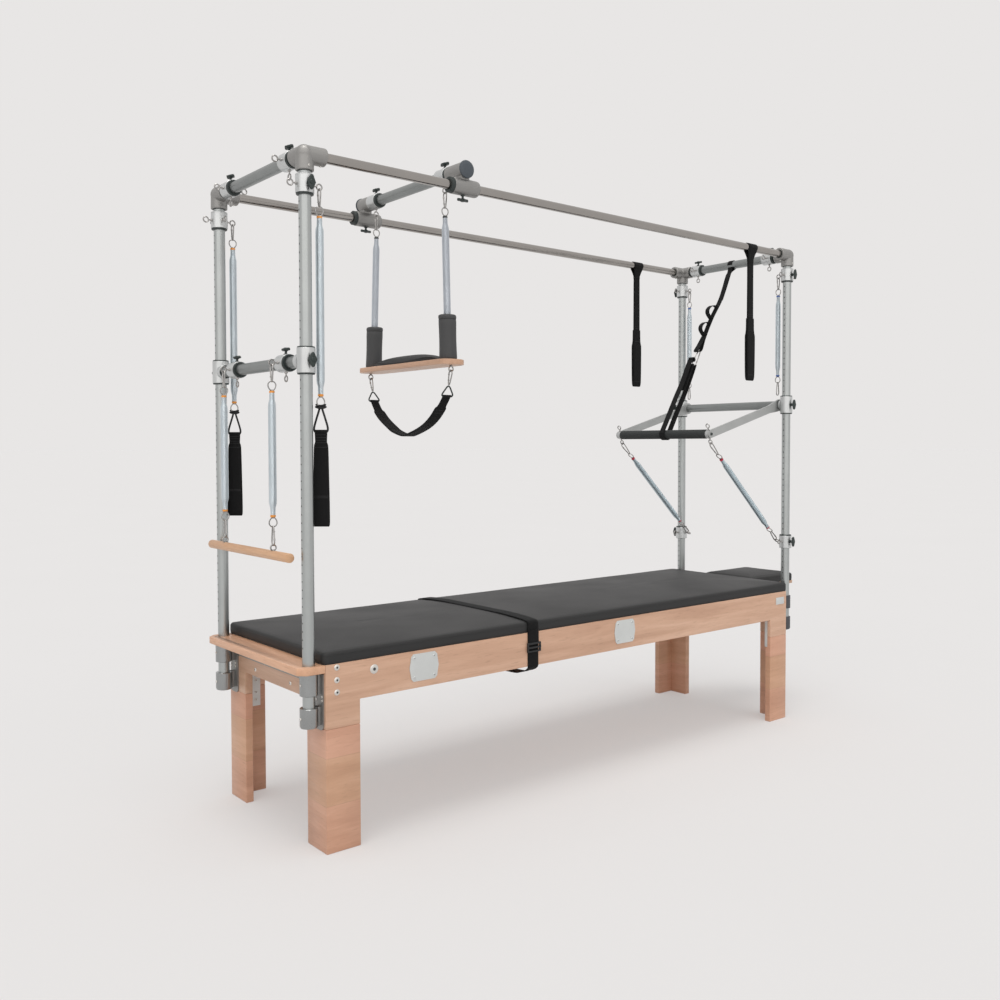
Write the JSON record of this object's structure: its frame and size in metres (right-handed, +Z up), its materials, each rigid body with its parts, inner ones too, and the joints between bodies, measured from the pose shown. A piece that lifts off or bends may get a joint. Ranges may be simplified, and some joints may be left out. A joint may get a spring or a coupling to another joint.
{
  "type": "pilates trapeze table",
  "caption": "Padded beech pilates trapeze table with a tubular canopy, rolling trapeze with sling, push-through bar, roll-up bar, hanging springs and strap loops.",
  "frame": {"origin": "centre of the whole object in plan, at floor level", "axes": "+Z up, +X along the bed towards the push-through bar, +Y to the back, away from the viewer of the picture"},
  "size_m": [2.772, 0.73, 2.234],
  "materials": {
    "beech": "clear satin lacquer",
    "upholstery": "matt grey vinyl",
    "webbing": "black woven webbing",
    "tube": "satin anodised",
    "rail_tube": "polished stainless",
    "cast": "cast, bead blasted",
    "coil": "bright zinc plated spring wire",
    "foam": "closed-cell foam",
    "buckle": "moulded black plastic"
  },
  "bodies": {
    "table": {"side_rail_front": "beech", "side_rail_back": "beech", "end_rail_left": "beech", "end_rail_right": "beech", "deck_panel": "beech", "leg_front_left": "beech", "leg_front_right": "beech", "leg_back_left": "beech", "leg_back_right": "beech", "end_board_left": "beech", "mattress": "upholstery", "mat_strap": "webbing", "mat_strap_buckle": "buckle", "end_bracket_left": "cast", "end_bracket_right": "cast", "post_front_left": "tube", "post_front_right": "tube", "post_back_left": "tube", "post_back_right": "tube", "corner_fitting_front_left": "cast", "corner_fitting_front_right": "cast", "corner_fitting_back_left": "cast", "corner_fitting_back_right": "cast", "top_rail_front": "rail_tube", "top_rail_back": "rail_tube", "top_crossbar_left": "tube", "top_crossbar_right": "tube", "upper_collar_front_right": "tube", "upper_collar_back_right": "tube", "safety_strap": "webbing"},
    "end_pad_slide": {"end_pad_board": "beech", "end_pad": "upholstery"},
    "trolley": {"trolley": "tube"},
    "trapeze_springs": {"trapeze_spring_front": "coil", "trapeze_spring_back": "coil"},
    "trapeze_seat": {"trapeze_board": "beech", "trapeze_pad": "upholstery", "trapeze_sleeve_front": "upholstery", "trapeze_sleeve_back": "upholstery"},
    "trapeze_sling": {"trapeze_sling": "webbing"},
    "mid_crossbar": {"mid_crossbar": "tube"},
    "roll_springs": {"roll_spring_front": "coil", "roll_spring_back": "coil"},
    "roll_bar": {"roll_bar": "beech"},
    "push_frame": {"push_frame": "tube"},
    "push_grip": {"push_grip": "foam"},
    "leg_collar_front": {"upper_collar_front_left": "tube"},
    "leg_spring_front": {"leg_spring_front": "coil"},
    "leg_handle_front": {"leg_handle_front": "webbing"},
    "arm_spring_front": {"arm_spring_front": "coil"},
    "push_spring_front": {"push_spring_front": "coil"},
    "push_hook_front": {"push_hook_front": "tube"},
    "strap_loop_front": {"strap_loop_front": "webbing"},
    "leg_collar_back": {"upper_collar_back_left": "tube"},
    "leg_spring_back": {"leg_spring_back": "coil"},
    "leg_handle_back": {"leg_handle_back": "webbing"},
    "arm_spring_back": {"arm_spring_back": "coil"},
    "push_spring_back": {"push_spring_back": "coil"},
    "push_hook_back": {"push_hook_back": "tube"},
    "strap_loop_back": {"strap_loop_back": "webbing"}
  },
  "joints": [
    {"name": "end_pad_pull", "type": "slide", "parent": "table", "child": "end_pad_slide", "axis": [1, 0, 0], "range_m": [0, 0.25]},
    {"name": "trolley_roll", "type": "slide", "parent": "table", "child": "trolley", "axis": [1, 0, 0], "range_m": [-0.43, 1.26]},
    {"name": "trapeze_swing", "type": "hinge", "parent": "trolley", "child": "trapeze_springs", "pos_m": [-0.734, 0.0125, 2.13205], "axis": [0, 1, 0], "range_deg": [-40, 40]},
    {"name": "trapeze_stretch", "type": "slide", "parent": "trapeze_springs", "child": "trapeze_seat", "axis": [0, 0, -1], "range_m": [0, 0.35], "stiffness_N_per_m": 600, "springref_m": -0.1, "deforming": ["trapeze_spring_front", "trapeze_spring_back"]},
    {"name": "sling_swing", "type": "hinge", "parent": "trapeze_seat", "child": "trapeze_sling", "pos_m": [-0.734, 0.02, 1.51575], "axis": [0, 1, 0], "range_deg": [-60, 60]},
    {"name": "mid_crossbar_lift", "type": "slide", "parent": "table", "child": "mid_crossbar", "axis": [0, 0, 1], "range_m": [-0.15, 0.25]},
    {"name": "roll_bar_swing", "type": "hinge", "parent": "mid_crossbar", "child": "roll_springs", "pos_m": [-1.369, -0.002, 1.50705], "axis": [0, 1, 0], "range_deg": [-1, 60]},
    {"name": "roll_bar_stretch", "type": "slide", "parent": "roll_springs", "child": "roll_bar", "axis": [0, 0, -1], "range_m": [0, 0.16], "stiffness_N_per_m": 400, "springref_m": -0.06, "deforming": ["roll_spring_front", "roll_spring_back"]},
    {"name": "push_bar_swing", "type": "hinge", "parent": "table", "child": "push_frame", "pos_m": [1.117, 0, 1.443], "axis": [0, 1, 0], "range_deg": [0, 65], "stiffness_Nm_per_rad": 90, "springref_deg": -5.73, "deforming": ["safety_strap"]},
    {"name": "push_grip_spin", "type": "hinge", "parent": "push_frame", "child": "push_grip", "pos_m": [0.623, 0, 1.305], "axis": [0, 1, 0], "continuous": true},
    {"name": "leg_collar_front_slide", "type": "slide", "parent": "table", "child": "leg_collar_front", "axis": [0, 0, 1], "range_m": [-0.19, 0.005]},
    {"name": "leg_spring_front_swing", "type": "hinge", "parent": "leg_collar_front", "child": "leg_spring_front", "pos_m": [-1.273, -0.316, 2.03305], "axis": [0, 1, 0], "range_deg": [-40, 0]},
    {"name": "leg_spring_front_stretch", "type": "slide", "parent": "leg_spring_front", "child": "leg_handle_front", "axis": [0, 0, -1], "range_m": [0, 0.17], "stiffness_N_per_m": 300, "springref_m": -0.06, "deforming": ["leg_spring_front"]},
    {"name": "arm_spring_front_swing", "type": "hinge", "parent": "table", "child": "arm_spring_front", "pos_m": [1.117, -0.268, 2.029], "axis": [0, -1, 0], "range_deg": [-30, 60]},
    {"name": "push_spring_front_swing", "type": "hinge", "parent": "table", "child": "push_spring_front", "pos_m": [1.11043, -0.268, 0.81715], "axis": [0, 1, 0], "range_deg": [0, 27]},
    {"name": "push_spring_front_stretch", "type": "slide", "parent": "push_spring_front", "child": "push_hook_front", "axis": [-0.7304, 0, 0.683], "range_m": [0, 0.4], "deforming": ["push_spring_front"]},
    {"name": "strap_loop_front_swing", "type": "hinge", "parent": "table", "child": "strap_loop_front", "pos_m": [0.848, -0.316, 2.129], "axis": [1, 0, 0], "range_deg": [-28, 28]},
    {"name": "leg_collar_back_slide", "type": "slide", "parent": "table", "child": "leg_collar_back", "axis": [0, 0, 1], "range_m": [-0.19, 0.005]},
    {"name": "leg_spring_back_swing", "type": "hinge", "parent": "leg_collar_back", "child": "leg_spring_back", "pos_m": [-1.273, 0.316, 2.03305], "axis": [0, 1, 0], "range_deg": [-40, 0]},
    {"name": "leg_spring_back_stretch", "type": "slide", "parent": "leg_spring_back", "child": "leg_handle_back", "axis": [0, 0, -1], "range_m": [0, 0.17], "stiffness_N_per_m": 300, "springref_m": -0.06, "deforming": ["leg_spring_back"]},
    {"name": "arm_spring_back_swing", "type": "hinge", "parent": "table", "child": "arm_spring_back", "pos_m": [1.117, 0.268, 2.029], "axis": [0, -1, 0], "range_deg": [-30, 60]},
    {"name": "push_spring_back_swing", "type": "hinge", "parent": "table", "child": "push_spring_back", "pos_m": [1.11043, 0.268, 0.81715], "axis": [0, 1, 0], "range_deg": [0, 27]},
    {"name": "push_spring_back_stretch", "type": "slide", "parent": "push_spring_back", "child": "push_hook_back", "axis": [-0.7304, 0, 0.683], "range_m": [0, 0.4], "deforming": ["push_spring_back"]},
    {"name": "strap_loop_back_swing", "type": "hinge", "parent": "table", "child": "strap_loop_back", "pos_m": [0.775, 0.316, 2.129], "axis": [1, 0, 0], "range_deg": [-28, 28]}
  ],
  "couplings": [
    {"joint": "push_spring_front_swing", "follows": "push_bar_swing", "ratio": 0.4121},
    {"joint": "push_spring_front_stretch", "follows": "push_bar_swing", "m_per_rad": 0.352},
    {"joint": "push_spring_back_swing", "follows": "push_bar_swing", "ratio": 0.4121},
    {"joint": "push_spring_back_stretch", "follows": "push_bar_swing", "m_per_rad": 0.352}
  ]
}
